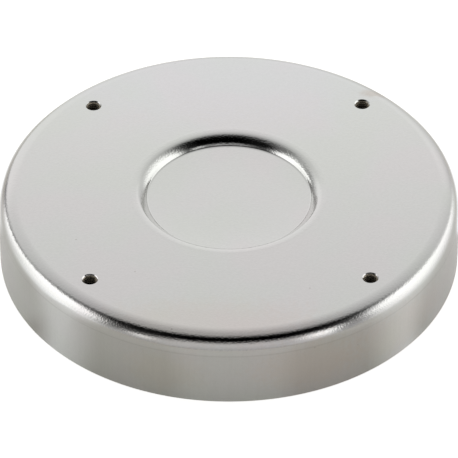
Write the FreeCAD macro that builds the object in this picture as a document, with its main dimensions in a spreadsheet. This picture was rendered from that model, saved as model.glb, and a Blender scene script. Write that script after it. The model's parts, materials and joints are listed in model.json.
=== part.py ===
import FreeCAD, Part
import math
import os
import Sketcher

# Round magnetic mount: a drawn steel cup with a ring magnet glued inside it.
# Origin: centre of the rim plane that meets the steel surface. +Z points to the screw face.
# Millimetres throughout.

# Name of each size, its value, and what it measures
SIZES = (
    ("hole_spacing", 75.0, "side of the square of screw holes"),
    ("wall_margin", 10.0, "centre of a screw hole to the outside of the wall"),
    ("cup_height", 21.5, "rim plane to screw face"),
    ("sheet", 3.0, "steel thickness, the same in every bend"),
    ("edge_inner_radius", 2.3, "punch radius where the wall meets the screw face"),
    ("rim_chamfer", 0.4, "deburred edges of the rim"),
    ("recess_depth", 2.6, "screw face to recess floor"),
    ("recess_slope", 45.0, "slope of the recess wall in degrees"),
    ("lip_inner_radius", 2.0, "die radius under the recess lip"),
    ("screw_diameter", 4.0, "nominal size of the screws"),
    ("thread_pitch", 0.7, "coarse pitch of the screws"),
    ("countersink_margin", 0.2, "countersink beyond the thread, each side"),
    ("ring_width", 20.0, "magnet bore to the outside of the magnet"),
    ("magnet_setback", 0.3, "rim plane to magnet face"),
    ("magnet_chamfer", 0.5, "ground edges of the ring"),
    ("screw_clearance", 1.0, "magnet to the sides of the screw ends"),
    ("boss_clearance", 2.9, "magnet bore to the mouth of the recess"),
    ("glue_film", 0.2, "adhesive between ring and cup"),
    ("glue_spread", 0.8, "bead width on the cup"),
)

# Part of the recess depth that the lip may take up, so that some straight wall is left
LIP_SHARE = 0.95

doc = FreeCAD.newDocument("magnetic_mount")


def write_sizes():
    """Put every driving size in a spreadsheet row with its alias and meaning."""
    sheet = doc.addObject("Spreadsheet::Sheet", "sizes")
    for row, (name, value, meaning) in enumerate(SIZES, start=1):
        sheet.set(f"A{row}", name)
        sheet.set(f"B{row}", str(value))
        sheet.setAlias(f"B{row}", name)
        sheet.set(f"C{row}", meaning)
    doc.recompute()
    return sheet


def at(x, y):
    """A point of a sketch: radius from the axis, height."""
    return FreeCAD.Vector(x, y, 0)


def add_sketch(body, role, name, offset=None):
    """A sketch on one of the body's own origin planes, raised by an expression if one is given."""
    sketch = body.newObject("Sketcher::SketchObject", name)
    plane = next(item for item in body.Origin.OriginFeatures if item.Role == role)
    sketch.AttachmentSupport = [(plane, "")]
    sketch.MapMode = "FlatFace"
    if offset:
        sketch.setExpression("AttachmentOffset.Base.z", offset)
    return sketch


def drive(sketch, name, expression, *constraint):
    """Add a dimension to a sketch under a name and bind it to an expression."""
    index = sketch.addConstraint(Sketcher.Constraint(*constraint))
    sketch.renameConstraint(index, name)
    sketch.setExpression(f"Constraints.{name}", expression)


def tie(sketch, kind, *pairs):
    """Add the same constraint to several pairs of elements."""
    for pair in pairs:
        sketch.addConstraint(Sketcher.Constraint(kind, *pair))


def revolve(body, sketch, name):
    """Turn a section once round the body's upright axis."""
    turned = body.newObject("PartDesign::Revolution", name)
    turned.Profile = sketch
    turned.ReferenceAxis = (sketch, ["V_Axis"])
    turned.Angle = 360
    sketch.Visibility = False
    return turned


def arc(centre, radius, start_degrees, end_degrees):
    """An arc of a circle, drawn anticlockwise."""
    circle = Part.Circle(centre, FreeCAD.Vector(0, 0, 1), radius)
    return Part.ArcOfCircle(circle, math.radians(start_degrees), math.radians(end_degrees))


# Start, end and centre of a sketch element, and the sketch's own axes
START, END, CENTRE = range(1, 4)
H_AXIS, V_AXIS = range(-1, -3, -1)


def round_edges(shape, highest):
    """Names of a shape's circular edges that lie no higher than the given height."""
    return [f"Edge{number}" for number, edge in enumerate(shape.Edges, start=1)
            if isinstance(edge.Curve, Part.Circle) and edge.Curve.Center.z <= highest]


def make_ring_magnet(sizes):
    """The ferrite ring: it clears the screw ends outside and the recess boss inside."""
    body = doc.addObject("PartDesign::Body", "ring_magnet")
    body.Label = "ring_magnet"
    ring = add_sketch(body, "XY_Plane", "magnet_ring", "sizes.magnet_setback")
    outer = sizes.hole_spacing / math.sqrt(2) - sizes.screw_diameter / 2 - sizes.screw_clearance
    circles = (
        ("outer_radius", outer,
         "sizes.hole_spacing / sqrt(2) - sizes.screw_diameter / 2 - sizes.screw_clearance"),
        ("bore_radius", outer - sizes.ring_width, "Constraints.outer_radius - sizes.ring_width * 1 mm"),
    )
    for name, radius, expression in circles:
        circle = ring.addGeometry(Part.Circle(at(0, 0), FreeCAD.Vector(0, 0, 1), radius), False)
        tie(ring, "Coincident", (circle, CENTRE, H_AXIS, START))
        drive(ring, name, expression, "Radius", circle, radius)

    block = body.newObject("PartDesign::Pad", "magnet_block")
    block.Profile = ring
    block.setExpression(
        "Length", "sizes.cup_height - sizes.sheet - sizes.glue_film - sizes.magnet_setback")
    ring.Visibility = False
    doc.recompute()

    ground = body.newObject("PartDesign::Chamfer", "ground_edges")
    ground.Base = (block, round_edges(block.Shape, sizes.cup_height))
    ground.setExpression("Size", "sizes.magnet_chamfer")
    doc.recompute()
    return body


def draw_sheet_section(body, sizes):
    """Half section of the pressed sheet.

    The outer face runs from the recess floor out to the rim and the inner face runs back. Each bend
    is a pair of arcs round one centre, so the sheet keeps its thickness all the way. The punch has a
    sharp edge, so the recess floor ends in a corner, and the boss turns round that corner's point.
    """
    sketch = add_sketch(body, "XZ_Plane", "sheet_section")
    rim = sizes.hole_spacing / math.sqrt(2) + sizes.wall_margin
    top = sizes.cup_height
    under = top - sizes.sheet
    mouth = doc.magnet_ring.getDatum("bore_radius").Value - sizes.boss_clearance
    floor = top - sizes.recess_depth
    edge = sizes.edge_inner_radius + sizes.sheet
    lip = sizes.lip_inner_radius + sizes.sheet
    # A shallow pressing has a gentle wall, because its lip alone already reaches the floor
    lip_slope = math.degrees(math.acos(1 - LIP_SHARE * sizes.recess_depth / lip))
    steepness = min(sizes.recess_slope, lip_slope)
    slope = math.radians(steepness)
    across_wall = at(-math.sin(slope), math.cos(slope))
    # First guess for the solver: the wall between the two bends starts with no length
    foot = mouth - lip * math.sin(slope)
    corner = at(foot, floor)
    lip_centre = at(mouth, top - lip)
    edge_centre = at(rim - edge, top - edge)

    (
        recess_floor, recess_wall, lip_bend, screw_face, edge_bend, outer_wall, rim_face, inner_wall,
        inner_edge_bend, magnet_seat, inner_lip_bend, boss_wall, boss_bend, boss_face, axis,
    ) = sketch.addGeometry([
        Part.LineSegment(at(0, floor), corner),
        Part.LineSegment(corner, lip_centre + across_wall * lip),
        arc(lip_centre, lip, 90, 90 + steepness),
        Part.LineSegment(at(mouth, top), at(rim - edge, top)),
        arc(edge_centre, edge, 0, 90),
        Part.LineSegment(at(rim, top - edge), at(rim, 0)),
        Part.LineSegment(at(rim, 0), at(rim - sizes.sheet, 0)),
        Part.LineSegment(at(rim - sizes.sheet, 0), at(rim - sizes.sheet, top - edge)),
        arc(edge_centre, edge - sizes.sheet, 0, 90),
        Part.LineSegment(at(rim - edge, under), at(mouth, under)),
        arc(lip_centre, lip - sizes.sheet, 90, 90 + steepness),
        Part.LineSegment(lip_centre + across_wall * (lip - sizes.sheet), corner - across_wall * sizes.sheet),
        arc(corner, sizes.sheet, -90, -90 + steepness),
        Part.LineSegment(at(foot, floor - sizes.sheet), at(0, floor - sizes.sheet)),
        Part.LineSegment(at(0, floor - sizes.sheet), at(0, floor)),
    ], False)

    tie(
        sketch, "Tangent",
        (recess_wall, END, lip_bend, END),
        (lip_bend, START, screw_face, START),
        (screw_face, END, edge_bend, END),
        (edge_bend, START, outer_wall, START),
        (inner_wall, END, inner_edge_bend, START),
        (inner_edge_bend, END, magnet_seat, START),
        (magnet_seat, END, inner_lip_bend, START),
        (inner_lip_bend, END, boss_wall, START),
        (boss_wall, END, boss_bend, END),
        (boss_bend, START, boss_face, START),
    )
    tie(
        sketch, "Coincident",
        (recess_floor, END, recess_wall, START),
        (outer_wall, END, rim_face, START),
        (rim_face, END, inner_wall, START),
        (boss_face, END, axis, START),
        (axis, END, recess_floor, START),
        (boss_bend, CENTRE, recess_floor, END),
        (inner_lip_bend, CENTRE, lip_bend, CENTRE),
        (inner_edge_bend, CENTRE, edge_bend, CENTRE),
    )
    tie(sketch, "Horizontal", (recess_floor,), (screw_face,), (rim_face,), (boss_face,))
    tie(sketch, "Vertical", (outer_wall,), (inner_wall,), (axis,))
    tie(sketch, "PointOnObject", (recess_floor, START, V_AXIS), (outer_wall, END, H_AXIS))

    drive(sketch, "rim_radius", "sizes.hole_spacing / sqrt(2) + sizes.wall_margin",
          "DistanceX", H_AXIS, START, outer_wall, END, rim)
    drive(sketch, "height", "sizes.cup_height", "DistanceY", H_AXIS, START, screw_face, START, top)
    drive(sketch, "mouth_radius", "magnet_ring.Constraints.bore_radius - sizes.boss_clearance * 1 mm",
          "DistanceX", H_AXIS, START, screw_face, START, mouth)
    drive(sketch, "depth", "sizes.recess_depth",
          "DistanceY", recess_floor, END, screw_face, START, sizes.recess_depth)
    drive(sketch, "edge_radius", "sizes.edge_inner_radius + sizes.sheet", "Radius", edge_bend, edge)
    drive(sketch, "inner_edge_radius", "sizes.edge_inner_radius",
          "Radius", inner_edge_bend, sizes.edge_inner_radius)
    drive(sketch, "lip_radius", "sizes.lip_inner_radius + sizes.sheet", "Radius", lip_bend, lip)
    drive(sketch, "inner_lip_radius", "sizes.lip_inner_radius",
          "Radius", inner_lip_bend, sizes.lip_inner_radius)
    drive(sketch, "boss_radius", "sizes.sheet", "Radius", boss_bend, sizes.sheet)
    lip_slope = f"acos(1 - {LIP_SHARE} * Constraints.depth / Constraints.lip_radius)"
    drive(sketch, "wall_slope", f"min(sizes.recess_slope * 1 deg; {lip_slope})",
          "Angle", recess_wall, slope)
    return sketch


def make_cup(sizes):
    """The drawn cup: pressed sheet, deburred rim and four tapped holes."""
    body = doc.addObject("PartDesign::Body", "cup")
    body.Label = "cup"
    section = draw_sheet_section(body, sizes)
    pressed = revolve(body, section, "pressed_sheet")
    doc.recompute()

    deburred = body.newObject("PartDesign::Chamfer", "deburred_rim")
    deburred.Base = (pressed, round_edges(pressed.Shape, sizes.magnet_setback))
    deburred.setExpression("Size", "sizes.rim_chamfer")
    doc.recompute()

    places = add_sketch(body, "XY_Plane", "hole_places", "sizes.cup_height")
    half = sizes.hole_spacing / 2
    drill_radius = (sizes.screw_diameter - sizes.thread_pitch) / 2
    for side_x, side_y in ((1, 1), (-1, 1), (-1, -1), (1, -1)):
        centre = at(side_x * half, side_y * half)
        hole = places.addGeometry(Part.Circle(centre, FreeCAD.Vector(0, 0, 1), drill_radius), False)
        label = f"{'right' if side_x > 0 else 'left'}_{'back' if side_y > 0 else 'front'}"
        drive(places, f"{label}_x", f"{side_x} * sizes.hole_spacing / 2",
              "DistanceX", H_AXIS, START, hole, CENTRE, centre.x)
        drive(places, f"{label}_y", f"{side_y} * sizes.hole_spacing / 2",
              "DistanceY", H_AXIS, START, hole, CENTRE, centre.y)
        drive(places, f"{label}_radius", "(sizes.screw_diameter - sizes.thread_pitch) / 2",
              "Radius", hole, drill_radius)
    doc.recompute()

    tapped = body.newObject("PartDesign::Hole", "tapped_holes")
    tapped.Profile = places
    doc.recompute()
    tapped.DepthType = "ThroughAll"
    tapped.setExpression("Diameter", "sizes.screw_diameter - sizes.thread_pitch")
    tapped.HoleCutType = "Countersink"
    tapped.HoleCutCountersinkAngle = 90
    tapped.setExpression("HoleCutDiameter", "sizes.screw_diameter + 2 * sizes.countersink_margin")
    places.Visibility = False
    doc.recompute()
    if not tapped.Shape.Volume < deburred.Shape.Volume:
        raise ValueError("the tapped holes cut nothing")
    return body


def make_adhesive(sizes):
    """The glue layer: a thin film on the ring's back and a bevelled bead along both its edges."""
    body = doc.addObject("PartDesign::Body", "adhesive")
    body.Label = "adhesive"
    sketch = add_sketch(body, "XZ_Plane", "glue_section")
    seat = sizes.cup_height - sizes.sheet
    back = seat - sizes.glue_film
    chamfer = sizes.magnet_chamfer
    low = back - chamfer
    outer = doc.magnet_ring.getDatum("outer_radius").Value
    bore = doc.magnet_ring.getDatum("bore_radius").Value
    corners = [
        at(bore - sizes.glue_spread, seat),
        at(bore, low),
        at(bore + chamfer, back),
        at(outer - chamfer, back),
        at(outer, low),
        at(outer + sizes.glue_spread, seat),
    ]
    sides = sketch.addGeometry(
        [Part.LineSegment(start, end) for start, end in zip(corners, corners[1:] + corners[:1])], False)
    inner_bead, inner_ground, film, outer_ground, outer_bead, seat_side = sides
    tie(sketch, "Coincident", *[(one, END, two, START) for one, two in zip(sides, sides[1:] + sides[:1])])
    tie(sketch, "Horizontal", (film,), (seat_side,))

    drive(sketch, "seat_height", "sizes.cup_height - sizes.sheet",
          "DistanceY", H_AXIS, START, seat_side, START, seat)
    drive(sketch, "film", "sizes.glue_film", "DistanceY", film, START, seat_side, START, sizes.glue_film)
    drive(sketch, "bore_radius", "magnet_ring.Constraints.bore_radius",
          "DistanceX", H_AXIS, START, inner_ground, START, bore)
    drive(sketch, "outer_radius", "magnet_ring.Constraints.outer_radius",
          "DistanceX", H_AXIS, START, outer_ground, END, outer)
    for place, ground, start, end in (
            ("bore", inner_ground, START, END), ("outer", outer_ground, END, START)):
        sign = 1 if place == "bore" else -1
        drive(sketch, f"{place}_chamfer_width", f"{sign} * sizes.magnet_chamfer",
              "DistanceX", ground, start, ground, end, sign * chamfer)
        drive(sketch, f"{place}_chamfer_height", "sizes.magnet_chamfer",
              "DistanceY", ground, start, ground, end, chamfer)
    drive(sketch, "bore_spread", "sizes.glue_spread",
          "DistanceX", inner_bead, START, inner_bead, END, sizes.glue_spread)
    drive(sketch, "outer_spread", "sizes.glue_spread",
          "DistanceX", outer_bead, START, outer_bead, END, sizes.glue_spread)
    revolve(body, sketch, "glue_layer")
    doc.recompute()
    return body


def check(bodies):
    """Stop if any feature failed, any sketch is loose, or any piece is not one valid solid."""
    for item in doc.Objects:
        if {"Invalid", "Error"} & set(item.State):
            raise ValueError(f"{item.Name} failed: {item.State}")
        if item.isDerivedFrom("Sketcher::SketchObject") and not item.FullyConstrained:
            raise ValueError(f"{item.Name} is not fully constrained")
    for body in bodies:
        shape = body.Shape
        if shape.isNull() or not shape.isValid() or len(shape.Solids) != 1:
            raise ValueError(f"{body.Label} is not one valid solid")


def write_parts(bodies):
    """Write one file for each piece, named by its label."""
    os.makedirs("parts", exist_ok=True)
    for body in bodies:
        body.Shape.exportStep(f"parts/{body.Label}.step")
        box = body.Shape.optimalBoundingBox()
        print(f"{body.Label}: {body.Shape.Volume / 1000:.2f} cm3,"
              f" {box.XLength:.2f} x {box.YLength:.2f} x {box.ZLength:.2f} mm")


sizes = write_sizes()
pieces = [make_ring_magnet(sizes), make_cup(sizes), make_adhesive(sizes)]
check(pieces)
write_parts(pieces)
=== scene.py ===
import json
import logging
import math
from collections.abc import Callable, Iterable, Sequence
from dataclasses import dataclass, field, replace
from enum import Enum

import bpy
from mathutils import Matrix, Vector
from mathutils.geometry import delaunay_2d_cdt
from mathutils.noise import noise


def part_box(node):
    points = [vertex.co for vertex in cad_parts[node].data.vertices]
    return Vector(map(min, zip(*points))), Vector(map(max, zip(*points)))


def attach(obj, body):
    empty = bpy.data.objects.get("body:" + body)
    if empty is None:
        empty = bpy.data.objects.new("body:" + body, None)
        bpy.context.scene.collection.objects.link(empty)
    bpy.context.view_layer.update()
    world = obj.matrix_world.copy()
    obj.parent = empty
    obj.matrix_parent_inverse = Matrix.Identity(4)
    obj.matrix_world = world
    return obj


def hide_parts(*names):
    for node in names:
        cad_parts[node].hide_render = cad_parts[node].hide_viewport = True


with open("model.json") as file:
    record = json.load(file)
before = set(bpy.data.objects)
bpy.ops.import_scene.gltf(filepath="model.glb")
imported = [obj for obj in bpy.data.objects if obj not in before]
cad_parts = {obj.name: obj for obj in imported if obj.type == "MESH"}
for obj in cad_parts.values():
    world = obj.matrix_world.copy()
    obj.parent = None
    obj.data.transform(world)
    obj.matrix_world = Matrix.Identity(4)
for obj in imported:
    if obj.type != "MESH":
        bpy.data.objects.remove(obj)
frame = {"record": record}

# The looks of a round magnetic mount: a bright nickel-plated steel cup, drawn from sheet, with a
# ferrite ring glued inside. Metres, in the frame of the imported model: +Z points to the screw face.

MM = 0.001
FULL_TURN = 2 * math.pi
ROOT_BODY = "root"
# Vertices nearer than this are one
SAME_PLACE = 1e-8
# Keeps lengths that others are divided by off zero
TINY = 1e-4
# The mean of fractal noise, and where a step over it starts and ends for a soft and for a clear pattern
NOISE_MEAN = 0.5
SOFT_SPAN = (0.3, 0.7)
CLEAR_SPAN = (0.35, 0.65)

Spot = tuple[float, float]
Place = tuple[float, float, float]
Colour = tuple[float, float, float]
Socket = bpy.types.NodeSocket

log = logging.getLogger("magnetic_mount")


class Facing(Enum):
    """The way a flat stretch of sheet faces, as the height part of its normal."""

    UP = 1.0
    DOWN = -1.0


class Finish(Enum):
    """The finishes of the cup, by their number in its mesh."""

    PLATE = 0
    THREAD = 1


def mm(*sizes: float) -> tuple[float, ...]:
    """Millimetres as metres."""
    return tuple(size * MM for size in sizes)


def angles(count: int) -> list[float]:
    """Even steps round an axis."""
    return [FULL_TURN * i / count for i in range(count)]


@dataclass(frozen=True)
class SectionPoint:
    """One point of a half section, with the radial and height parts of the surface normal there."""

    radius: float
    height: float
    out: float
    up: float


Run = list[SectionPoint]


@dataclass(frozen=True)
class Bend:
    """One arc of a pressed shape: the slope in degrees that it ends at, and its radius."""

    slope: float
    radius: float


def spot_at(centre: Spot, reach: float, tilt: float) -> Spot:
    """The spot in the section that lies in one direction from another.

    Args:
        centre: Radius and height to start from.
        reach: How far away the spot is.
        tilt: Its direction in degrees: 0 is up and 90 is away from the axis.

    Returns:
        The radius and height.
    """
    angle = math.radians(tilt)
    return centre[0] + reach * math.sin(angle), centre[1] + reach * math.cos(angle)


def run_of(steps: int, rule: Callable[[float], SectionPoint]) -> Run:
    """A stretch of the section, by a rule for each share of it from 0 to 1."""
    return [rule(i / steps) for i in range(steps + 1)]


def straight_run(start: Spot, end: Spot, steps: int = 1) -> Run:
    """A straight stretch, with the solid on its right-hand side.

    Args:
        start: Radius and height at the start.
        end: Radius and height at the end.
        steps: Number of spans.

    Returns:
        The points from start to end.
    """
    run, rise, length = end[0] - start[0], end[1] - start[1], math.dist(start, end)
    return run_of(steps, lambda share: SectionPoint(
        start[0] + run * share, start[1] + rise * share, -rise / length, run / length))


def bend_run(centre: Spot, radius: float, start: float, end: float, steps: int, hollow: bool = False) -> Run:
    """A stretch round a bend.

    Args:
        centre: Radius and height of the bend's centre.
        radius: Bend radius.
        start: Tilt of the outward direction at the start, as in spot_at.
        end: Tilt at the end.
        steps: Number of spans.
        hollow: True where the surface is the inside of the bend, so that its normal points at the centre.

    Returns:
        The points from start to end.
    """
    side = -1.0 if hollow else 1.0

    def point(share: float) -> SectionPoint:
        """One point of the bend."""
        tilt = start + (end - start) * share
        return SectionPoint(*spot_at(centre, radius, tilt), *spot_at((0.0, 0.0), side, tilt))

    return run_of(steps, point)


def inside(spot: Sequence[float], rim: Sequence[Sequence[float]]) -> bool:
    """Whether a spot lies inside a closed outline.

    Args:
        spot: The spot.
        rim: The corners of the outline.

    Returns:
        True if the spot is inside.
    """
    x, y = spot
    found = False
    for (x1, y1), (x2, y2) in zip(rim, [*rim[1:], rim[0]]):
        if (y1 > y) != (y2 > y) and x < x1 + (y - y1) * (x2 - x1) / (y2 - y1):
            found = not found
    return found


def spread(inner: float, outer: float, spacing: float) -> Iterable[Spot]:
    """Spots spread evenly over a ring, about a spacing apart."""
    rings = max(1, round((outer - inner) / spacing))
    for ring in range(1, rings):
        radius = inner + (outer - inner) * ring / rings
        for turn in angles(round(FULL_TURN * radius / spacing)):
            yield radius * math.cos(turn), radius * math.sin(turn)


@dataclass
class TurnedMesh:
    """Collects the rings, faces and corner normals of a closed turned shape.

    Corner normals are stated with each face, so smooth metal shows no facets beside its flats.
    """

    name: str
    around: int = 288
    places: list[Place] = field(default_factory=list)
    faces: list[tuple[int, ...]] = field(default_factory=list)
    normals: list[Place] = field(default_factory=list)
    finishes: list[int] = field(default_factory=list)
    rings: dict[tuple[int, int], list[int]] = field(default_factory=dict)

    def vertex(self, place: Place) -> int:
        """Add one vertex and return its number."""
        self.places.append(place)
        return len(self.places) - 1

    def loop(self, rule: Callable[[float], Spot], centre: Spot = (0.0, 0.0), around: int = 0) -> list[int]:
        """Add a closed line of vertices round an upright axis.

        Args:
            rule: Gives the radius and height at each angle.
            centre: Place of the axis.
            around: Number of vertices, or 0 for the mesh's own.

        Returns:
            The vertex numbers.
        """
        line = []
        for turn in angles(around or self.around):
            radius, height = rule(turn)
            across, along = radius * math.cos(turn), radius * math.sin(turn)
            line.append(self.vertex((centre[0] + across, centre[1] + along, height)))
        return line

    def ring(self, radius: float, height: float) -> list[int]:
        """The vertices of a full circle, made once for each radius and height.

        Args:
            radius: Circle radius. At zero the ring is a single vertex, repeated.
            height: Circle height.

        Returns:
            The vertex numbers, one for each step round the axis.
        """
        key = (round(radius / SAME_PLACE), round(height / SAME_PLACE))
        if key not in self.rings:
            if key[0] == 0:
                self.rings[key] = [self.vertex((0.0, 0.0, height))] * self.around
            else:
                self.rings[key] = self.loop(lambda _: (radius, height))
        return self.rings[key]

    def face(self, corners: Sequence[int], normals: Sequence[Place], finish: Finish = Finish.PLATE) -> None:
        """Add one face, leaving out repeated corners.

        Args:
            corners: The vertex numbers.
            normals: The normal at each corner.
            finish: The finish of the face.
        """
        kept = [(c, n) for i, (c, n) in enumerate(zip(corners, normals)) if c != corners[i - 1]]
        self.faces.append(tuple(c for c, _ in kept))
        self.normals.extend(n for _, n in kept)
        self.finishes.append(finish.value)

    def turn(self, run: Run) -> None:
        """Turn a stretch of the section round the axis.

        Args:
            run: The points, in the order that keeps the solid on their right-hand side.
        """
        spokes = [(math.cos(turn), math.sin(turn)) for turn in angles(self.around)]
        for near, far in zip(run, run[1:]):
            first, second = self.ring(near.radius, near.height), self.ring(far.radius, far.height)
            for i in range(self.around):
                j = (i + 1) % self.around
                normals = [
                    (point.out * spokes[k][0], point.out * spokes[k][1], point.up)
                    for point, k in ((near, i), (far, i), (far, j), (near, j))
                ]
                self.face((first[i], second[i], second[j], first[j]), normals)

    def sheet(self, rows: Sequence[Sequence[int]], finish: Finish = Finish.PLATE) -> None:
        """Join rows of vertices that close on themselves, smooth along and across.

        Args:
            rows: The vertex numbers of each row, all of the same length.
            finish: The finish of the faces.
        """
        count, last = len(rows[0]), len(rows) - 1
        places = [[Vector(self.places[number]) for number in row] for row in rows]
        normals = []
        for row in range(last + 1):
            above, below = places[min(row + 1, last)], places[max(row - 1, 0)]
            across = [places[row][(i + 1) % count] - places[row][i - 1] for i in range(count)]
            normals.append([(above[i] - below[i]).cross(across[i]).normalized()[:] for i in range(count)])
        for row in range(last):
            for i in range(count):
                j = (i + 1) % count
                spots = ((row, i), (row + 1, i), (row + 1, j), (row, j))
                self.face([rows[r][k] for r, k in spots], [normals[r][k] for r, k in spots], finish)

    def plate(self, inner: float, outer: float, height: float, facing: Facing,
              holes: Sequence[Sequence[int]], spacing: float) -> None:
        """Fill a level ring that has holes in it.

        Args:
            inner: Inner radius.
            outer: Outer radius.
            height: Height of the ring.
            facing: The way it faces.
            holes: The vertex numbers round each hole's edge.
            spacing: Rough distance between the vertices added inside the ring.
        """
        numbers, edges, centres = [], [], []
        for loop in (self.ring(inner, height), self.ring(outer, height), *holes):
            start, count = len(numbers), len(loop)
            edges += [(start + i, start + (i + 1) % count) for i in range(count)]
            numbers += loop
        rims = [[self.places[number][:2] for number in hole] for hole in holes]
        for rim in rims:
            middle = [sum(part) / len(rim) for part in zip(*rim)]
            centres.append((middle, max(math.dist(middle, spot) for spot in rim)))
        for spot in spread(inner, outer, spacing):
            if all(math.dist(spot, middle) > reach + spacing / 2 for middle, reach in centres):
                numbers.append(self.vertex((*spot, height)))
        points = [Vector(self.places[number][:2]) for number in numbers]
        _, _, triangles, sources, _, _ = delaunay_2d_cdt(points, edges, [], 0, SAME_PLACE / 10)
        inside_limit = inner * math.cos(math.pi / self.around)
        for triangle in triangles:
            corners = [numbers[sources[i][0]] for i in triangle]
            middle = [sum(self.places[corner][axis] for corner in corners) / 3 for axis in (0, 1)]
            if math.hypot(*middle) >= inside_limit and not any(inside(middle, rim) for rim in rims):
                self.face(corners if facing is Facing.UP else corners[::-1], [(0.0, 0.0, facing.value)] * 3)

    def piece(self, node: str, slot: str, *surfaces: "Surface") -> bpy.types.Object:
        """Make the finished piece, which rides on the body and stands for its solid.

        Args:
            node: The solid that it replaces.
            slot: The record's material slot; not used.
            surfaces: Its finishes, in the order of their numbers.

        Returns:
            The piece, smooth, with the stated corner normals.
        """
        mesh = bpy.data.meshes.new(self.name)
        mesh.from_pydata(self.places, [], self.faces)
        mesh.shade_smooth()
        mesh.polygons.foreach_set("material_index", self.finishes)
        mesh.normals_split_custom_set(self.normals)
        mesh.update()
        piece = bpy.data.objects.new(self.name, mesh)
        bpy.context.scene.collection.objects.link(piece)
        for surface in surfaces:
            mesh.materials.append(surface.material())
        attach(piece, ROOT_BODY)
        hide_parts(node)
        return piece


@dataclass(frozen=True)
class ShaderGraph:
    """Adds nodes to one material, world or group."""

    tree: bpy.types.NodeTree

    def put(self, value: object, socket: Socket) -> None:
        """Give a socket a link or a constant."""
        if isinstance(value, Wire):
            self.tree.links.new(value.end, socket)
        else:
            socket.default_value = value

    def node(self, kind: str, *values: object, named: dict[str, object] | None = None, out: int | str = 0,
             **settings: object) -> "Wire":
        """Add a node.

        Args:
            kind: The node's kind.
            values: What its first sockets are given.
            named: What other sockets are given, by their names.
            out: The output that is taken.
            settings: The node's own properties.

        Returns:
            The value of that output.
        """
        node = self.tree.nodes.new(f"ShaderNode{kind}")
        for name, setting in settings.items():
            setattr(node, name, setting)
        for value, socket in zip(values, node.inputs):
            self.put(value, socket)
        for name, value in (named or {}).items():
            self.put(value, node.inputs[name])
        return Wire(self, node.outputs[out])

    def ray(self, kind: str) -> "Wire":
        """1 for one kind of ray and 0 for the others."""
        return self.node("LightPath", out=f"Is {kind} Ray")


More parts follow.
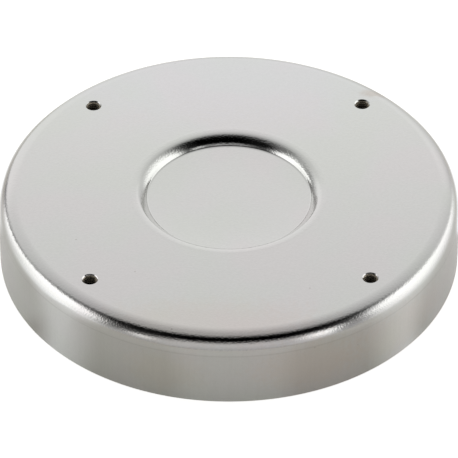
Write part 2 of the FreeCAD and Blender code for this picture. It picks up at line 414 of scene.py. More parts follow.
@dataclass(frozen=True)
class Wire:
    """A value on its way through a graph. Sums with numbers are written as in ordinary code."""

    graph: ShaderGraph
    end: Socket

    def step(self, operation: str, *others: "Value") -> "Wire":
        """One step of arithmetic on numbers, with this one first."""
        return self.graph.node("Math", self, *others, operation=operation)

    def __add__(self, other: "Value") -> "Wire":
        """The sum."""
        return self.step("ADD", other)

    def __sub__(self, other: "Value") -> "Wire":
        """The difference."""
        return self.step("SUBTRACT", other)

    def __rsub__(self, other: float) -> "Wire":
        """The difference from a plain number."""
        return self.graph.node("Math", other, self, operation="SUBTRACT")

    def __mul__(self, other: "Value") -> "Wire":
        """The product."""
        return self.step("MULTIPLY", other)

    def __truediv__(self, other: "Value") -> "Wire":
        """The quotient."""
        return self.step("DIVIDE", other)

    def larger(self, other: "Value") -> "Wire":
        """The larger of two numbers."""
        return self.step("MAXIMUM", other)

    def smaller(self, other: "Value") -> "Wire":
        """The smaller of two numbers."""
        return self.step("MINIMUM", other)

    def vector(self, operation: str, *others: object) -> "Wire":
        """One step of arithmetic on vectors, with this one first."""
        out = "Value" if operation == "LENGTH" else "Vector"
        return self.graph.node("VectorMath", self, *others, out=out, operation=operation)

    def parts(self) -> tuple["Wire", ...]:
        """The three parts of a vector."""
        return tuple(Wire(self.graph, end) for end in self.graph.node("SeparateXYZ", self).end.node.outputs)

    def with_parts(self, *others: "Wire") -> "Wire":
        """A vector of this number and others."""
        return self.graph.node("CombineXYZ", self, *others)

    def level(self, other: "Wire") -> "Wire":
        """The length of the level vector of this number and another."""
        return self.with_parts(other).vector("LENGTH")

    def rise(self, low: float, high: float, start: "Value" = 0.0, end: "Value" = 1.0) -> "Wire":
        """A smooth step of the value.

        Args:
            low: Where the step begins.
            high: Where it ends, which may be lower than low.
            start: Result before the step.
            end: Result after it.

        Returns:
            The result.
        """
        return self.graph.node("MapRange", self, low, high, start, end, interpolation_type="SMOOTHSTEP")

    def band(self, middle: float, half_width: float, softness: float) -> "Wire":
        """A smooth bump that is 1 near one value and 0 away from it.

        Args:
            middle: Where the bump stands.
            half_width: Half of its width, between the places where it is a half.
            softness: Width of each of its two slopes.

        Returns:
            The result.
        """
        distance = (self - middle).step("ABSOLUTE")
        return distance.rise(half_width + softness / 2, half_width - softness / 2)

    def curve(self, points: Sequence[Spot]) -> "Wire":
        """A number read off a line of points.

        Args:
            points: Pairs of value and result, in rising order. The results lie between 0 and 1.

        Returns:
            The result.
        """
        low, high = points[0][0], points[-1][0]
        ramp = self.graph.node("ValToRGB", self.graph.node("MapRange", self, low, high))
        stops = ramp.end.node.color_ramp.elements
        while len(stops) < len(points):
            stops.new(1.0)
        for stop, (place, level) in zip(stops, points):
            stop.position = (place - low) / (high - low)
            stop.color = (level, level, level, 1.0)
        return ramp

    def noise(self, size: float, detail: float = 2.0, roughness: float = 0.5) -> "Wire":
        """Fractal noise at this place, with a mean of about a half.

        Args:
            size: Size of its largest grains, in metres.
            detail: Number of finer layers.
            roughness: Strength of the finer layers.

        Returns:
            The noise.
        """
        named = {"Scale": 1 / size, "Detail": detail, "Roughness": roughness}
        return self.graph.node("TexNoise", self, named=named)

    def blend(self, first: object, second: object, kind: str = "MIX") -> "Wire":
        """A mix of two colours, with this number as the share of the second.

        Args:
            first: The first colour.
            second: The second colour.
            kind: The way of mixing.

        Returns:
            The mixed colour.
        """
        mix = self.graph.node("Mix", self, data_type="RGBA", blend_type=kind).end.node
        colours = (socket for socket in mix.inputs if socket.type == "RGBA")
        for value, socket in zip((first, second), colours):
            self.graph.put((*value, 1.0) if isinstance(value, tuple) else value, socket)
        return Wire(self.graph, next(socket for socket in mix.outputs if socket.type == "RGBA"))

    def bump(self, distance: float = 1.0) -> "Wire":
        """A normal bent by this height, multiplied by a distance."""
        return self.graph.node("Bump", named={"Distance": distance, "Height": self})

    def glow(self, colour: Colour = (1.0, 1.0, 1.0)) -> "Wire":
        """Light of this strength and a colour."""
        return self.graph.node("Emission", (*colour, 1.0), self)


Value = float | Wire


@dataclass(frozen=True)
class StainOrPaintedReflection:
    """A soft tinted mark with a ragged edge, placed by its middle and its reach along each axis; used both
    for a stain and for a painted reflection tint.
    """

    place: Place
    reach: Place
    tint: Colour
    softness: float = 0.7

    def lay(self, place: Wire, ragged: Wire, under: Wire) -> Wire:
        """Tint a colour where the mark is.

        Args:
            place: Where the colour is read.
            ragged: Noise that breaks up the edge.
            under: The colour without the mark.

        Returns:
            The colour with the mark.
        """
        distance = place.vector("SUBTRACT", self.place).vector("DIVIDE", self.reach).vector("LENGTH")
        share = (distance + (ragged - NOISE_MEAN)).rise(1.0, 1.0 - self.softness)
        return share.blend(under, self.tint, "MULTIPLY")


@dataclass(frozen=True)
class Surface:
    """A finish, made of nodes on the shader of a material of its own."""

    name: str
    metallic: float

    def material(self) -> bpy.types.Material:
        """Make the finish.

        Returns:
            The material.
        """
        material = bpy.data.materials.new(self.name)
        material.use_nodes = True
        graph, sockets = ShaderGraph(material.node_tree), material.node_tree.nodes["Principled BSDF"].inputs
        sockets["Metallic"].default_value = self.metallic
        layers = self.layers(graph.node("TexCoord", out="Object"))
        for layer, name in zip(layers, ("Base Color", "Roughness", "Normal")):
            graph.put(layer, sockets[name])
        return material

    def layers(self, place: Wire) -> tuple[Wire, Wire, Wire]:
        """What the surface is made of at a place: its colour, roughness and normal."""
        raise NotImplementedError


@dataclass(frozen=True)
class NickelPlate(Surface):
    """Bright nickel on sheet: a soft mirror, grained where it was bent and streaked where it was drawn."""

    name: str = "nickel_plate"
    metallic: float = 1.0
    colour: Colour = (0.70, 0.697, 0.682)
    green: Colour = (0.693, 0.70, 0.672)
    pink: Colour = (0.71, 0.692, 0.685)
    green_span: Spot = (0.38, 0.5)
    pink_span: Spot = (0.5, 0.62)
    roughness: float = 0.07
    rougher: float = 0.091
    flat_grain: float = 0.014 * MM
    bend_grain: float = 0.035 * MM
    grain_size: float = 0.45 * MM
    edge_bend: Spot = mm(57.5, 59.5)
    lip_middle: float = 24.8 * MM
    lip_half_width: float = 2.4 * MM
    lip_grain_share: float = 0.5
    wall_start: Spot = mm(62.0, 62.9)
    streak_width: float = 0.8 * MM
    streak_stretch: float = 30.0
    streak_share: float = 0.5
    streak_tint: Colour = (0.97, 0.97, 0.965)
    draw_line_height: float = 15.95 * MM
    draw_line_width: float = 0.2 * MM
    # Painted shade: darkens the band of the draw line, standing in for the shaded floor that the groove
    # mirrors
    draw_line_tint: Colour = (0.92, 0.92, 0.91)
    cloud_size: float = 24.0 * MM
    mottle_size: float = 0.7 * MM
    mottle_tint: Colour = (0.982, 0.982, 0.982)
    speck_pitch: float = 9.0 * MM
    speck_edge: Spot = (0.035, 0.02)
    speck_tint: Colour = (0.84, 0.83, 0.81)
    stain_grain: float = 1.6 * MM
    stains: tuple[StainOrPaintedReflection, ...] = (
        # Painted reflection: a cooler tint over the back of the screw face, where the metal mirrors the
        # neutral tent
        StainOrPaintedReflection(mm(0.0, 56.0, 21.5), mm(80.0, 38.0, 12.0), (1.0, 1.006, 1.028)),
        StainOrPaintedReflection(mm(41.0, 42.5, 21.5), mm(5.0, 2.6, 4.0), (0.90, 0.85, 0.81)),
        # Painted reflections: warm, slightly darker tints on the front of the screw face and the wall,
        # standing in for the warm floor that the metal mirrors there
        StainOrPaintedReflection(mm(-8.0, -56.0, 21.5), mm(46.0, 13.0, 6.0), (1.0, 0.965, 0.945)),
        StainOrPaintedReflection(mm(-18.0, -60.4, 9.0), mm(16.0, 9.0, 9.0), (1.0, 0.97, 0.945)),
        StainOrPaintedReflection(mm(22.0, -59.0, 10.0), mm(24.0, 11.0, 10.0), (1.0, 0.965, 0.925)),
        StainOrPaintedReflection(mm(45.0, -44.0, 9.0), mm(24.0, 24.0, 11.0), (1.0, 0.97, 0.94)),
    )

    def layers(self, place: Wire) -> tuple[Wire, Wire, Wire]:
        """What the plate is made of.

        Args:
            place: The place on it.

        Returns:
            The colour, roughness and normal.
        """
        x, y, z = place.parts()
        radius = x.level(y)
        wall = radius.rise(*self.wall_start)
        streaks = x.with_parts(y, z / self.streak_stretch).noise(self.streak_width, detail=3.0, roughness=0.7)
        lip = radius.band(self.lip_middle, self.lip_half_width, MM) * self.lip_grain_share
        bent = radius.rise(*self.edge_bend).larger(lip) * (1.0 - wall)
        amount = bent.rise(0.0, 1.0, self.flat_grain, self.bend_grain)
        grain = place.noise(self.grain_size, detail=1.0) * amount + streaks * wall * self.flat_grain
        roughness = place.noise(self.cloud_size, detail=3.0).rise(*SOFT_SPAN, self.roughness, self.rougher)
        return self.tone(place, wall, streaks), roughness, grain.bump()

    def tone(self, place: Wire, wall: Wire, streaks: Wire) -> Wire:
        """The plate's colour: slow tints, streaks on the wall, small dark specks, a painted shade along the
        draw line, a brown stain by one hole and painted reflection tints.

        Args:
            place: Where the colour is read.
            wall: 1 on the wall and 0 elsewhere.
            streaks: Noise drawn out along the wall.

        Returns:
            The colour.
        """
        tints = place.noise(self.cloud_size)
        colour = tints.rise(*self.green_span).blend(self.green, self.colour)
        colour = tints.rise(*self.pink_span).blend(colour, self.pink)
        # The band where painted shade darkens the draw line
        line = place.parts()[2].band(self.draw_line_height, self.draw_line_width, self.draw_line_width)
        specks = place.graph.node("TexVoronoi", place, named={"Scale": 1 / self.speck_pitch}, out="Distance")
        marks = (
            (place.noise(self.mottle_size).rise(*CLEAR_SPAN), self.mottle_tint),
            (streaks.rise(*CLEAR_SPAN) * wall * self.streak_share, self.streak_tint),
            (line * wall, self.draw_line_tint),
            (specks.rise(*self.speck_edge), self.speck_tint),
        )
        for share, tint in marks:
            colour = share.blend(colour, tint, "MULTIPLY")
        ragged = place.noise(self.stain_grain, detail=3.0, roughness=0.65)
        for tint_mark in self.stains:
            colour = tint_mark.lay(place, ragged, colour)
        return colour


@dataclass(frozen=True)
class GrainedSurface(Surface):
    """A finish whose colour, roughness and height follow one grain."""

    hollows: Colour
    crests: Colour
    contrast: Spot
    grain: float
    smooth: float
    rough: float
    relief: float

    def layers(self, place: Wire) -> tuple[Wire, Wire, Wire]:
        """What the surface is made of.

        Args:
            place: The place on it.

        Returns:
            The colour, roughness and normal.
        """
        pattern = self.pattern(place)
        colour = pattern.rise(*self.contrast).blend(self.hollows, self.crests)
        roughness = pattern.rise(*SOFT_SPAN, self.smooth, self.rough)
        return colour, roughness, self.height(place, pattern).bump(self.relief)

    def pattern(self, place: Wire) -> Wire:
        """The grain, as a number between 0 and 1."""
        return place.noise(self.grain)

    def height(self, place: Wire, pattern: Wire) -> Wire:
        """The height of the grain."""
        return pattern


@dataclass(frozen=True)
class CutThread(GrainedSurface):
    """The bare steel that the tap left, brownish with cutting oil."""

    name: str = "cut_thread"
    metallic: float = 1.0
    hollows: Colour = (0.147, 0.1295, 0.1015)
    crests: Colour = (0.42, 0.37, 0.29)
    contrast: Spot = CLEAR_SPAN
    grain: float = 0.35 * MM
    smooth: float = 0.3
    rough: float = 0.5
    relief: float = 0.03 * MM

    def pattern(self, place: Wire) -> Wire:
        """Small cuts of many sizes."""
        return place.noise(self.grain, detail=3.0, roughness=0.6)


@dataclass(frozen=True)
class GroundFerrite(GrainedSurface):
    """Hard ferrite with ground faces: dark grey, fine pores and faint grinding lines."""

    name: str = "ground_ferrite"
    metallic: float = 0.0
    hollows: Colour = (0.045, 0.045, 0.048)
    crests: Colour = (0.0765, 0.0765, 0.0816)
    contrast: Spot = (0.35, 0.7)
    grain: float = 0.9 * MM
    smooth: float = 0.48
    rough: float = 0.63
    relief: float = 0.02 * MM
    line_stretch: float = 50.0
    pore_size: float = 0.5 * MM
    pore_edge: Spot = (0.62, 0.72)

    def pattern(self, place: Wire) -> Wire:
        """Grinding lines, all one way."""
        x, y, z = place.parts()
        return x.with_parts(y / self.line_stretch, z).noise(self.grain, detail=4.0, roughness=0.6)

    def height(self, place: Wire, pattern: Wire) -> Wire:
        """The lines' height, with pores in it."""
        return (pattern + place.noise(self.pore_size).rise(*self.pore_edge, 1.0, 0.0)) * 0.5


@dataclass(frozen=True)
class CuredEpoxy(GrainedSurface):
    """Amber epoxy, glossy where it was squeezed out, with slow ripples."""

    name: str = "cured_epoxy"
    metallic: float = 0.0
    hollows: Colour = (0.252, 0.162, 0.06)
    crests: Colour = (0.42, 0.27, 0.10)
    contrast: Spot = SOFT_SPAN
    grain: float = 3.0 * MM
    smooth: float = 0.22
    rough: float = 0.37
    relief: float = 0.15 * MM


@dataclass(frozen=True)
class TappedHole:
    """A tapped through hole with a countersunk mouth: a metric coarse thread of full form."""

    major: float = 4.0 * MM
    pitch: float = 0.7 * MM
    mouth: float = 4.4 * MM
    crest_share: float = 0.25
    root_share: float = 0.125
    relief: float = 0.12 * MM
    plated: float = 0.3 * MM
    around: int = 72
    rows_per_pitch: int = 24

    @property
    def minor(self) -> float:
        """Diameter at the thread's crests, as the tap drill leaves it."""
        return self.major - self.pitch

    def thread_radius(self, turn: float, height: float) -> float:
        """Radius of the threaded wall.

        Args:
            turn: Angle round the hole's axis, from where the tap began.
            height: Height along the axis.

        Returns:
            The radius of the thread form there.
        """
        flank = (1 - self.crest_share - self.root_share) / 2
        phase = max(0.0, (height / self.pitch - turn / FULL_TURN) % 1.0 - self.crest_share)
        depth = min(1.0, phase / flank, (1 - self.crest_share - phase) / flank)
        # The tap rounds the root and leaves the crest flat
        rounded = math.sin(depth * math.pi / 2)
        return (self.minor + (self.major - self.minor) * rounded) / 2

    def wall_radius(self, turn: float, height: float, bottom: float, top: float) -> float:
        """Radius of the hole's wall, where the countersink or the burr relief may cut past the thread.

        Args:
            turn: Angle round the hole's axis.
            height: Height along the axis.
            bottom: Height of the sheet's inner face.
            top: Height of the sheet's outer face.

        Returns:
            The radius of the wall there.
        """
        countersink = self.mouth / 2 - (top - height)
        relief = self.minor / 2 + self.relief - (height - bottom)
        return max(self.thread_radius(turn, height), countersink, relief)

    def cut(self, mesh: TurnedMesh, centre: Spot, bottom: float, top: float,
            start: float) -> tuple[list[int], list[int]]:
        """Add the hole's wall to a sheet.

        Args:
            mesh: The sheet's mesh.
            centre: Place of the hole's axis.
            bottom: Height of the sheet's inner face.
            top: Height of the sheet's outer face.
            start: Angle at which the tap began, in turns.

        Returns:
            The vertex numbers round the hole's edge in the inner face, then in the outer face.
        """
        count = round((top - bottom) / self.pitch * self.rows_per_pitch)
        rows = []
        for row in range(count + 1):
            height = bottom + (top - bottom) * row / count
            rows.append(mesh.loop(
                lambda turn: (self.wall_radius(turn - start * FULL_TURN, height, bottom, top), height),
                centre, self.around))
        bare = count - round(self.plated / self.pitch * self.rows_per_pitch)
        mesh.sheet(rows[:bare + 1], Finish.THREAD)
        mesh.sheet(rows[bare:])
        return rows[0], rows[-1]


@dataclass
class DrawnCup:
    """The pressed cup: one piece of sheet with its recess, bent edge, wall and tapped holes."""

    plate: NickelPlate
    thread: CutThread
    hole: TappedHole
    sheet: float = 3.0 * MM
    edge_radius: float = 5.3 * MM
    rim_chamfer: float = 0.4 * MM
    recess_depth: float = 2.8 * MM
    floor_radius: float = 22.4 * MM
    floor_dish: float = 0.25 * MM
    foot_fillet: float = 0.75 * MM
    foot_slope: float = 53.5
    thread_starts: tuple[float, ...] = (0.15, 0.62, 0.45, 0.55)
    draw_line_depth: float = 0.03 * MM
    draw_line_width: float = 0.5 * MM
    # From the screw face down: the press leaves a soft onset, a tight lip and a long flank
    lip: tuple[Bend, ...] = (
        Bend(5.0, 14.0 * MM), Bend(15.0, 2.1 * MM), Bend(25.0, 2.3 * MM), Bend(33.0, 0.45 * MM),
        Bend(40.0, 4.3 * MM), Bend(46.0, 15.0 * MM), Bend(53.5, 5.0 * MM))
    inner_mouth: float = 27.133 * MM
    inner_lip: float = 2.0 * MM
    inner_slope: float = 45.0
    mesh_spacing: float = 3.0 * MM
    node: str = "cup"

    @property
    def rim(self) -> float:
        """Outside radius of the wall."""
        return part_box(self.node)[1].x

    @property
    def top(self) -> float:
        """Height of the screw face."""
        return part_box(self.node)[1].z

    @property
    def edge_centre(self) -> Spot:
        """Centre of the bent edge, for its outside and its inside."""
        return self.rim - self.edge_radius, self.top - self.edge_radius

    def build(self) -> bpy.types.Object:
        """Turn the sheet's section, cut the tapped holes and dress the cup.

        Returns:
            The cup.
        """
        top, under, edge = self.top, self.top - self.sheet, self.edge_centre[0]
        mesh = TurnedMesh("drawn_cup")
        inner_loops, outer_loops = zip(*(
            self.hole.cut(mesh, centre, under, top, start)
            for centre, start in zip(self.hole_centres(), self.thread_starts)
        ))
        recess = self.outer_recess()
        mesh.plate(recess[-1][-1].radius, edge, top, Facing.UP, outer_loops, self.mesh_spacing)
        mesh.plate(self.inner_mouth, edge, under, Facing.DOWN, inner_loops, self.mesh_spacing)
        for run in (*recess, *self.outer_wall(), *self.inner_side()):
            mesh.turn(run)
        return mesh.piece(self.node, "nickel_plated_steel", self.plate, self.thread)

    @staticmethod
    def hole_centres() -> list[Spot]:
        """The places of the tapped holes, from the record's screw pattern."""
        pattern = next(m for m in frame["record"]["mounts"] if m["name"] == "screw_holes")["dims"]
        half_x, half_y = pattern["spacing_x_mm"] * MM / 2, pattern["spacing_y_mm"] * MM / 2
        return [(x * half_x, y * half_y) for x, y in ((1, 1), (-1, 1), (-1, -1), (1, -1))]

    def outer_recess(self) -> list[Run]:
        """The recess seen from the screw face: floor, foot fillet, flank and lip.

        Returns:
            The runs from the axis out to the recess mouth.
        """
        floor, slope = self.top - self.recess_depth, math.radians(self.foot_slope)
        reach = self.foot_fillet * math.tan(slope / 2)
        foot_centre = (self.floor_radius - reach, floor + self.foot_fillet)
        foot = spot_at((self.floor_radius, floor), reach, 90.0 - self.foot_slope)
        runs, spot, before = [], (0.0, self.top), 0.0
        for bend in self.lip:
            centre = spot_at(spot, bend.radius, 180.0 - before)
            steps = max(3, round(bend.slope - before))
            points = bend_run(centre, bend.radius, -before, -bend.slope, steps)
            runs.insert(0, points[::-1])
            spot, before = (points[-1].radius, points[-1].height), bend.slope
        # The lip was laid from the axis; its foot tells how far out it belongs
        mouth = foot[0] + (spot[1] - foot[1]) / math.tan(slope) - spot[0]
        lip = [[replace(point, radius=point.radius + mouth) for point in run] for run in runs]
        return [
            self.recess_floor(foot_centre[0], floor),
            bend_run(foot_centre, self.foot_fillet, 180.0, 180.0 - self.foot_slope, steps=6, hollow=True),
            straight_run(foot, (lip[0][0].radius, lip[0][0].height), steps=2),
            *lip,
        ]

    def recess_floor(self, reach: float, height: float) -> Run:
        """The recess floor, a little dished by the press.

        Args:
            reach: Radius where the floor ends.
            height: Height there.

        Returns:
            The points from the axis outwards.
        """
        dish = self.floor_dish
        return run_of(16, lambda share: SectionPoint(
            reach * share, height - dish * (1 - share ** 3), -3 * dish / reach * share ** 2, 1.0))

    def outer_wall(self) -> list[Run]:
        """The bent edge, the draw line at its end, the wall and the deburred rim.

        Returns:
            The runs from the screw face down to the rim and across it.
        """
        rim, inner, chamfer = self.rim, self.rim - self.sheet, self.rim_chamfer
        wall_top = self.edge_centre[1] - self.draw_line_width
        return [
            bend_run(self.edge_centre, self.edge_radius, 0.0, 90.0, steps=40),
            self.draw_line(),
            straight_run((rim, wall_top), (rim, chamfer), steps=3),
            bend_run((rim - chamfer, chamfer), chamfer, 90.0, 180.0, steps=6),
            straight_run((rim - chamfer, 0.0), (inner + chamfer, 0.0)),
            bend_run((inner + chamfer, chamfer), chamfer, 180.0, 270.0, steps=6),
        ]

    def draw_line(self) -> Run:
        """The shallow ring that the die's edge leaves at the end of the bend.

        Returns:
            The points down across the ring.
        """
        depth, width, rim, start = self.draw_line_depth, self.draw_line_width, self.rim, self.edge_centre[1]

        def point(share: float) -> SectionPoint:
            """One point of the ring's section, which is a wave."""
            wave = FULL_TURN * share
            lean = depth * math.pi / width * math.sin(wave)
            return SectionPoint(rim - depth * (1 - math.cos(wave)) / 2, start - width * share, 1.0, -lean)

        return run_of(8, point)

    def inner_side(self) -> list[Run]:
        """The inside of the cup, at the sheet's thickness from the outside.

        Returns:
            The runs from the rim up the inner wall and back to the axis.
        """
        inner, boss = self.rim - self.sheet, self.top - self.recess_depth - self.sheet
        lip_centre = (self.inner_mouth, self.top - self.sheet - self.inner_lip)
        boss_centre = (self.floor_radius, boss + self.sheet)
        lip_end = spot_at(lip_centre, self.inner_lip, -self.inner_slope)
        boss_edge = spot_at(boss_centre, self.sheet, 180.0 - self.inner_slope)
        return [
            straight_run((inner, self.rim_chamfer), (inner, self.edge_centre[1]), steps=3),
            bend_run(self.edge_centre, self.edge_radius - self.sheet, 90.0, 0.0, steps=16, hollow=True),
            bend_run(lip_centre, self.inner_lip, 0.0, -self.inner_slope, steps=10, hollow=True),
            straight_run(lip_end, boss_edge, 2),
            bend_run(boss_centre, self.sheet, 180.0 - self.inner_slope, 180.0, steps=12),
            straight_run((self.floor_radius, boss), (0.0, boss), steps=3),
        ]


@dataclass
class FerriteRing:
    """The ring magnet, with ground faces and edges that chipped a little in handling."""

    finish: GroundFerrite
    width: float = 20.0 * MM
    chamfer: float = 0.5 * MM
    chip: float = 1.0 * MM
    chip_length: float = 2.2 * MM
    node: str = "ring_magnet"

    def build(self) -> bpy.types.Object:
        """Turn the ring with its chamfers.

        Returns:
            The ring.
        """
        low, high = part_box(self.node)
        outer, bore, c = high.x, high.x - self.width, self.chamfer
        mesh = TurnedMesh("ferrite_ring")
        rows = [
            self.edge(mesh, bore, low.z + c, 0.0, 1.0),
            self.edge(mesh, bore + c, low.z, 1.0, 0.0),
            self.edge(mesh, outer - c, low.z, -1.0, 0.0),
            self.edge(mesh, outer, low.z + c, 0.0, 1.0),
            mesh.ring(outer, high.z - c),
            mesh.ring(outer - c, high.z),
            mesh.ring(bore + c, high.z),
            mesh.ring(bore, high.z - c),
        ]
        for row, following in zip(rows, [*rows[1:], rows[0]]):
            mesh.sheet([row, following])
        return mesh.piece(self.node, "ferrite", self.finish)

    def edge(self, mesh: TurnedMesh, radius: float, height: float, out: float, up: float) -> list[int]:
        """One line of a chamfer, set back a little more where the edge chipped.

        Args:
            mesh: The ring's mesh.
            radius: Radius of the clean line.
            height: Height of the clean line.
            out: Radial part of the way that a chip moves the line.
            up: Height part of that way.

        Returns:
            The vertex numbers round the line.
        """

        def chipped(turn: float) -> Spot:
            """The radius and height at one angle."""
            rough = noise(Vector((math.cos(turn), math.sin(turn), 0.0)) * (radius / self.chip_length))
            depth = self.chip * max(0.0, rough) ** 2
            return radius + out * depth, height + up * depth

        return mesh.loop(chipped)


@dataclass
class GlueLayer:
    """The epoxy behind the ring, with a hollow bead squeezed out along both of its edges."""

    finish: CuredEpoxy
    film: float = 0.2 * MM
    spread: float = 0.8 * MM
    chamfer: float = 0.5 * MM
    magnet_width: float = 20.0 * MM
    wander: float = 0.35
    wander_start: float = 0.5
    wander_length: float = 7.0 * MM
    steps: int = 8
    node: str = "adhesive"

    def build(self) -> bpy.types.Object:
        """Lay the film and its two beads.

        Returns:
            The glue.
        """
        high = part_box(self.node)[1]
        outer, back = high.x - self.spread, high.z - self.film
        bore = outer - self.magnet_width
        mesh = TurnedMesh("glue_layer")
        inner_bead = self.bead(mesh, bore, high.z, -1.0)
        outer_bead = self.bead(mesh, outer, high.z, 1.0)
        inner_film = mesh.ring(bore + self.chamfer, back)
        outer_film = mesh.ring(outer - self.chamfer, back)
        for rows in (inner_bead, [inner_bead[-1], inner_film], [inner_film, outer_film],
                     [outer_film, outer_bead[-1]], outer_bead[::-1], [outer_bead[0], inner_bead[0]]):
            mesh.sheet(rows)
        return mesh.piece(self.node, "epoxy", self.finish)

    def bead(self, mesh: TurnedMesh, radius: float, seat: float, out: float) -> list[list[int]]:
        """A hollow bead whose foot wanders on the cup.

        Args:
            mesh: The glue's mesh.
            radius: Radius of the magnet's side.
            seat: Height of the cup's inner face.
            out: 1 for a bead outside the ring and -1 for one in its bore.

        Returns:
            The rows of vertices from the cup to the magnet.
        """

        def reach(turn: float) -> float:
            """How far the foot spreads at one angle."""
            drift = noise(Vector((math.cos(turn), math.sin(turn), out)) * (radius / self.wander_length))
            return self.spread * (1 - self.wander * max(0.0, self.wander_start - drift))

        rows = []
        for step in range(self.steps + 1):
            tilt = math.pi / 2 * step / self.steps
            share = out * (1 - math.sin(tilt))
            height = seat - (self.film + self.chamfer) * (1 - math.cos(tilt))
            rows.append(mesh.loop(lambda turn: (radius + share * reach(turn), height)))
        return rows


# One side of a patch of light, in degrees: where it is half as strong, and the width of its slope
SoftEdge = tuple[float, float]


@dataclass(frozen=True)
class TentPatch:
    """A soft-edged patch of the light tent.

    Its sides are in degrees from straight above: left and right across the camera's view, near towards
    the camera and far away from it. The lean turns the patch about its middle, in degrees. The bow
    moves its ends away from the camera by that much for each degree aside, squared, and the curl moves
    its near and far parts to the right in the same way. Both grow only as far as the reach, so that the
    patch doesn't show up again on the other side of the tent.
    """

    left: SoftEdge
    right: SoftEdge
    near: SoftEdge
    far: SoftEdge
    level: float
    lean: float = 0.0
    bow: float = 0.0
    curl: float = 0.0
    reach: float = 60.0

    def lay(self, across: Wire, away: Wire, under: Wire) -> Wire:
        """Lay the patch over what is there.

        Args:
            across: Degrees to the right of the zenith.
            away: Degrees from the zenith away from the camera.
            under: Brightness under the patch.

        Returns:
            The brightness with the patch on it.
        """
        middle_x, middle_y = (self.left[0] + self.right[0]) / 2, (self.near[0] + self.far[0]) / 2
        cos, sin = math.cos(math.radians(self.lean)), math.sin(math.radians(self.lean))
        x, y = across - middle_x, away - middle_y
        level_x, level_y = x * cos + y * sin, y * cos - x * sin
        limit = self.reach ** 2
        aside = level_x - (level_y * level_y).smaller(limit) * self.curl + middle_x
        along = level_y - (level_x * level_x).smaller(limit) * self.bow + middle_y
        sides = ((aside, self.left, 0.5), (aside, self.right, -0.5), (along, self.near, 0.5),
                 (along, self.far, -0.5))
        share = 1.0
        for value, (place, softness), inward in sides:
            half = inward * softness
            share = value.rise(place - half, place + half) * share
        return under + (self.level - under) * share


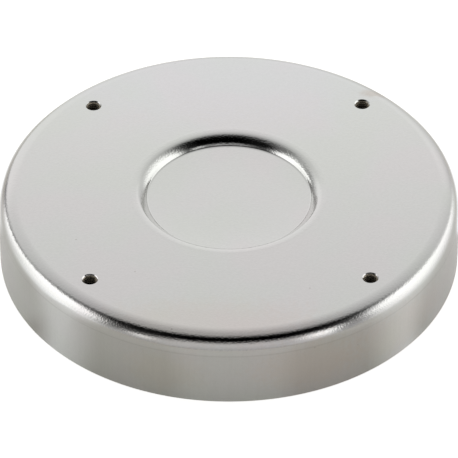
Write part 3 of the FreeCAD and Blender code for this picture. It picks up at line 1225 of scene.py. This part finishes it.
@dataclass
class Studio:
    """A small light tent over a pale floor, and the camera."""

    tent_radius: float = 0.5
    paper: Colour = (0.81, 0.785, 0.725)
    pool_tint: Colour = (0.95, 0.99, 1.05)
    floor_glow: float = 0.75
    mean_level: float = 0.58
    back_light: float = 0.25
    mirrored_glow: float = 0.05
    plain_level: float = 0.515
    horizon: float = 88.0
    edge_radius: float = 61.0 * MM
    edge_height: float = 18.0 * MM
    shaded_radius: Spot = mm(60.0, 62.0)
    lens: float = 377.3
    clip: Spot = (0.05, 20.0)
    distance: float = 1.3205
    elevation: float = 39.68
    azimuth: float = 0.483
    look_height: float = 7.564 * MM

    # Brightness of the cloth by degrees from the zenith, away from the camera
    cloth: tuple[Spot, ...] = (
        (-130, 0.49), (-84, 0.50), (-76, 0.565), (-68, 0.60), (-54, 0.59), (-5, 0.475), (0, 0.483),
        (10, 0.567), (20, 0.652), (30, 0.722), (42, 0.795), (48, 0.876), (54, 0.97), (72, 0.97),
        (88, 0.82), (100, 0.74),
    )
    patches: tuple[TentPatch, ...] = (
        # Cloth at the two sides
        TentPatch((-152, 14), (-74, 20), (-28, 32), (137, 10), 0.62, lean=1, bow=-0.007, curl=-0.003),
        TentPatch((60, 10), (152, 37), (-47, 60), (137, 10), 0.69, lean=16, bow=-0.009, curl=-0.001),
        # Pale glow below the strip lights, down to the floor
        TentPatch((-104, 36), (-51, 14), (-59, 29), (28, 49), 0.96, lean=1, bow=-0.02, curl=-0.003),
        TentPatch((56, 15), (108, 56), (-36, 20), (22, 30), 0.52, lean=4, bow=-0.012, curl=-0.009),
        # Dark borders of the strip lights
        TentPatch((-82, 47), (-59, 13), (-2, 28), (83, 60), 0.1, bow=-0.004, curl=0.009),
        TentPatch((58, 60), (97, 24), (-18, 14), (105, 7), 0.6, lean=16, bow=0.001, curl=-0.005),
        # Strip lights at the two sides
        TentPatch((-96, 22), (-52, 11), (-31, 19), (11, 60), 1.33, lean=-5, bow=-0.017, curl=-0.005),
        TentPatch((53, 20), (97, 60), (-34, 57), (30, 60), 1.45, lean=-3, bow=-0.029, curl=-0.001),
        # Their far halves
        TentPatch((-77, 49), (-61, 7), (-21, 14), (54, 23), 1.69, lean=12, bow=0.001, curl=0.005),
        TentPatch((58, 12), (72, 36), (-16, 20), (56, 28), 1.54, lean=-9, bow=-0.006, curl=-0.005),
        # The black card in front, bowed like the cup's edge, with two frayed tails
        TentPatch((-47, 24), (48, 20), (-53, 21), (-17, 23), 0.0, lean=3, bow=0.007, curl=-0.001),
        TentPatch((-72, 50), (-23, 35), (-57, 60), (-33, 21), 0.02, lean=30, bow=-0.001, curl=-0.03),
        TentPatch((33, 24), (67, 60), (-57, 38), (-27, 18), 0.05, lean=-31, bow=0.006, curl=-0.01),
        # Lamps low behind the tent
        TentPatch((-74, 10), (-55, 14), (95, 8), (130, 10), 1.18, curl=-0.001),
        TentPatch((66, 45), (77, 38), (81, 15), (133, 21), 0.92, lean=-7, bow=-0.006, curl=-0.006),
        # Two small lamps in front
        TentPatch((-52, 15), (-40, 19), (-65, 22), (-52, 9), 1.14, lean=-23, bow=-0.001, curl=-0.012),
        TentPatch((35, 18), (53, 15), (-63, 25), (-41, 19), 1.39, lean=21, bow=-0.011, curl=0.013),
        # Pools of light on the floor in front of the strips
        TentPatch((-195, 10), (-147, 36), (-130, 30), (10, 30), 0.63, lean=-13),
        TentPatch((135, 36), (205, 10), (-130, 30), (10, 30), 0.62, lean=13),
        TentPatch((-135, 26), (-104, 46), (-160, 40), (-34, 40), 0.79, lean=-13),
        TentPatch((105, 46), (137, 26), (-156, 40), (-34, 40), 0.80, lean=13),
        # A pool in the middle
        TentPatch((-40, 34), (44, 34), (-200, 20), (-90, 5), 0.58),
        # Pools behind the strips
        TentPatch((-185, 10), (-107, 31), (30, 40), (85, 31), 1.2, lean=-30, bow=0.009, curl=0.003),
        TentPatch((94, 53), (191, 10), (19, 17), (97, 20), 1.3, lean=-19, bow=0.007, curl=0.02),
    )

    def build(self) -> None:
        """Make the tent, the floor, the white surroundings and the camera."""
        pattern = self.light_pattern()
        self.make_tent(pattern)
        self.make_floor(pattern)
        self.make_world()
        self.make_camera()

    def light_pattern(self) -> bpy.types.NodeTree:
        """The cloth with all patches of light laid on it.

        Returns:
            A group of nodes that gives the brightness for the degrees across and away.
        """
        tree = bpy.data.node_groups.new("light_pattern", "ShaderNodeTree")
        for name in ("across", "away"):
            tree.interface.new_socket(name, in_out="INPUT", socket_type="NodeSocketFloat")
        tree.interface.new_socket("brightness", in_out="OUTPUT", socket_type="NodeSocketFloat")
        graph = ShaderGraph(tree)
        across, away = (Wire(graph, end) for end in tree.nodes.new("NodeGroupInput").outputs[:2])
        brightness = away.curve(self.cloth)
        for patch in self.patches:
            brightness = patch.lay(across, away, brightness)
        graph.put(brightness, tree.nodes.new("NodeGroupOutput").inputs[0])
        return tree

    @staticmethod
    def brightness(pattern: bpy.types.NodeTree, x: Wire, y: Wire, angle: Wire) -> Wire:
        """The brightness in one direction.

        Args:
            pattern: The light pattern.
            x: Part of the direction to the right.
            y: Part of the direction away from the camera.
            angle: The direction's angle from the zenith, in radians.

        Returns:
            The brightness.
        """
        degrees, level = angle * math.degrees(1.0), x.level(y).larger(TINY)
        return x.graph.node("Group", degrees * (x / level), degrees * (y / level), node_tree=pattern)

    @staticmethod
    def dress_stage(stage: bpy.types.Object, name: str, surface: Callable[[Wire], Wire]) -> None:
        """Give the tent or the floor its own light, and keep it out of the object.

        Args:
            stage: The tent or the floor.
            name: Its name.
            surface: Makes its surface, from the place in the scene.
        """
        stage.name = name
        material = bpy.data.materials.new(name)
        material.use_nodes = True
        nodes = material.node_tree.nodes
        nodes.remove(nodes["Principled BSDF"])
        graph = ShaderGraph(material.node_tree)
        place = graph.node("NewGeometry", out="Position")
        graph.put(surface(place), nodes["Material Output"].inputs["Surface"])
        material.cycles.emission_sampling = "NONE"
        stage.data.materials.append(material)

    def make_tent(self, pattern: bpy.types.NodeTree) -> None:
        """A half sphere of lit cloth that only lights and reflections see.

        Args:
            pattern: The light pattern.
        """
        bpy.ops.mesh.primitive_uv_sphere_add(segments=64, ring_count=32, radius=self.tent_radius)
        tent = bpy.context.object
        ball = tent.data
        upper = [tuple(f.vertices) for f in ball.polygons if f.center.z > 0]
        tent.data = bpy.data.meshes.new("light_tent")
        tent.data.from_pydata([v.co[:] for v in ball.vertices], [], upper)
        tent.visible_camera = False

        def cloth(place: Wire) -> Wire:
            """Mirrors see the pattern and matt surfaces an even light, a little stronger from behind."""
            x, y, z = place.vector("NORMALIZE").parts()
            mirrored = self.brightness(pattern, x, y, z.step("ARCCOSINE"))
            even = y * self.back_light + self.mean_level
            return x.graph.node("MixShader", x.graph.ray("Diffuse"), mirrored.glow(), even.glow())

        self.dress_stage(tent, "light_tent", cloth)

    def make_floor(self, pattern: bpy.types.NodeTree) -> None:
        """A pale round table top inside the tent, which the metal mirrors with pools of light at the sides.

        Args:
            pattern: The light pattern.
        """
        bpy.ops.mesh.primitive_circle_add(vertices=128, radius=self.tent_radius, fill_type="NGON")

        def paper(place: Wire) -> Wire:
            """Pale paper, open to the light where the object doesn't stand on it."""
            graph, (x, y, _) = place.graph, place.parts()
            radius = x.level(y)
            open_floor = radius.rise(*self.shaded_radius)
            # Places on the floor continue the pattern below the horizon, as the cup's edge sees them
            outside = (radius - self.edge_radius).larger(TINY)
            drop = graph.node("Math", self.edge_height, outside, operation="ARCTAN2")
            pools = self.brightness(pattern, x, y, drop + math.radians(self.horizon)) - self.plain_level
            mirror = (pools.larger(0.0) + self.mirrored_glow) * open_floor
            seen = graph.ray("Camera").larger(graph.ray("Transmission")) * self.floor_glow * open_floor
            glow = graph.node("MixShader", graph.ray("Glossy"), seen.glow(), mirror.glow(self.pool_tint))
            return graph.node("AddShader", graph.node("BsdfDiffuse", (*self.paper, 1.0)), glow)

        self.dress_stage(bpy.context.object, "floor", paper)

    @staticmethod
    def make_world() -> None:
        """White behind everything, for the camera and for what metal mirrors."""
        world = bpy.data.worlds.new("white_surroundings")
        bpy.context.scene.world = world
        world.use_nodes = True
        graph, background = ShaderGraph(world.node_tree), world.node_tree.nodes["Background"]
        background.inputs["Color"].default_value = (1.0, 1.0, 1.0, 1.0)
        seen = graph.ray("Camera").larger(graph.ray("Glossy")).larger(graph.ray("Transmission"))
        graph.put(seen, background.inputs["Strength"])

    def make_camera(self) -> None:
        """The camera, as the photograph was taken."""
        data = bpy.data.cameras.new("camera")
        data.lens = self.lens
        data.clip_start, data.clip_end = self.clip
        camera = bpy.data.objects.new("camera", data)
        bpy.context.scene.collection.objects.link(camera)
        a, e = math.radians(self.azimuth), math.radians(self.elevation)
        back = Vector((-math.sin(a) * math.cos(e), -math.cos(a) * math.cos(e), math.sin(e)))
        camera.location = Vector((0.0, 0.0, self.look_height)) + back * self.distance
        camera.rotation_euler = (-back).to_track_quat("-Z", "Y").to_euler()
        bpy.context.scene.camera = camera


def corners(box: tuple[Vector, Vector]) -> list[list[float]]:
    """A box as plain lists of numbers."""
    return [list(corner) for corner in box]


def main() -> None:
    """Build every sub-assembly in order and report it."""
    logging.basicConfig(level=logging.INFO, format="%(name)s: %(message)s")
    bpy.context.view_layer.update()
    bpy.context.scene.view_settings.view_transform = "Standard"
    Studio().build()
    assemblies = (
        DrawnCup(NickelPlate(), CutThread(), TappedHole()),
        FerriteRing(GroundFerrite()),
        GlueLayer(CuredEpoxy()),
    )
    for assembly in assemblies:
        piece = assembly.build()
        log.info("%s: %d faces", piece.name, len(piece.data.polygons))


if __name__ == "__main__":
    main()
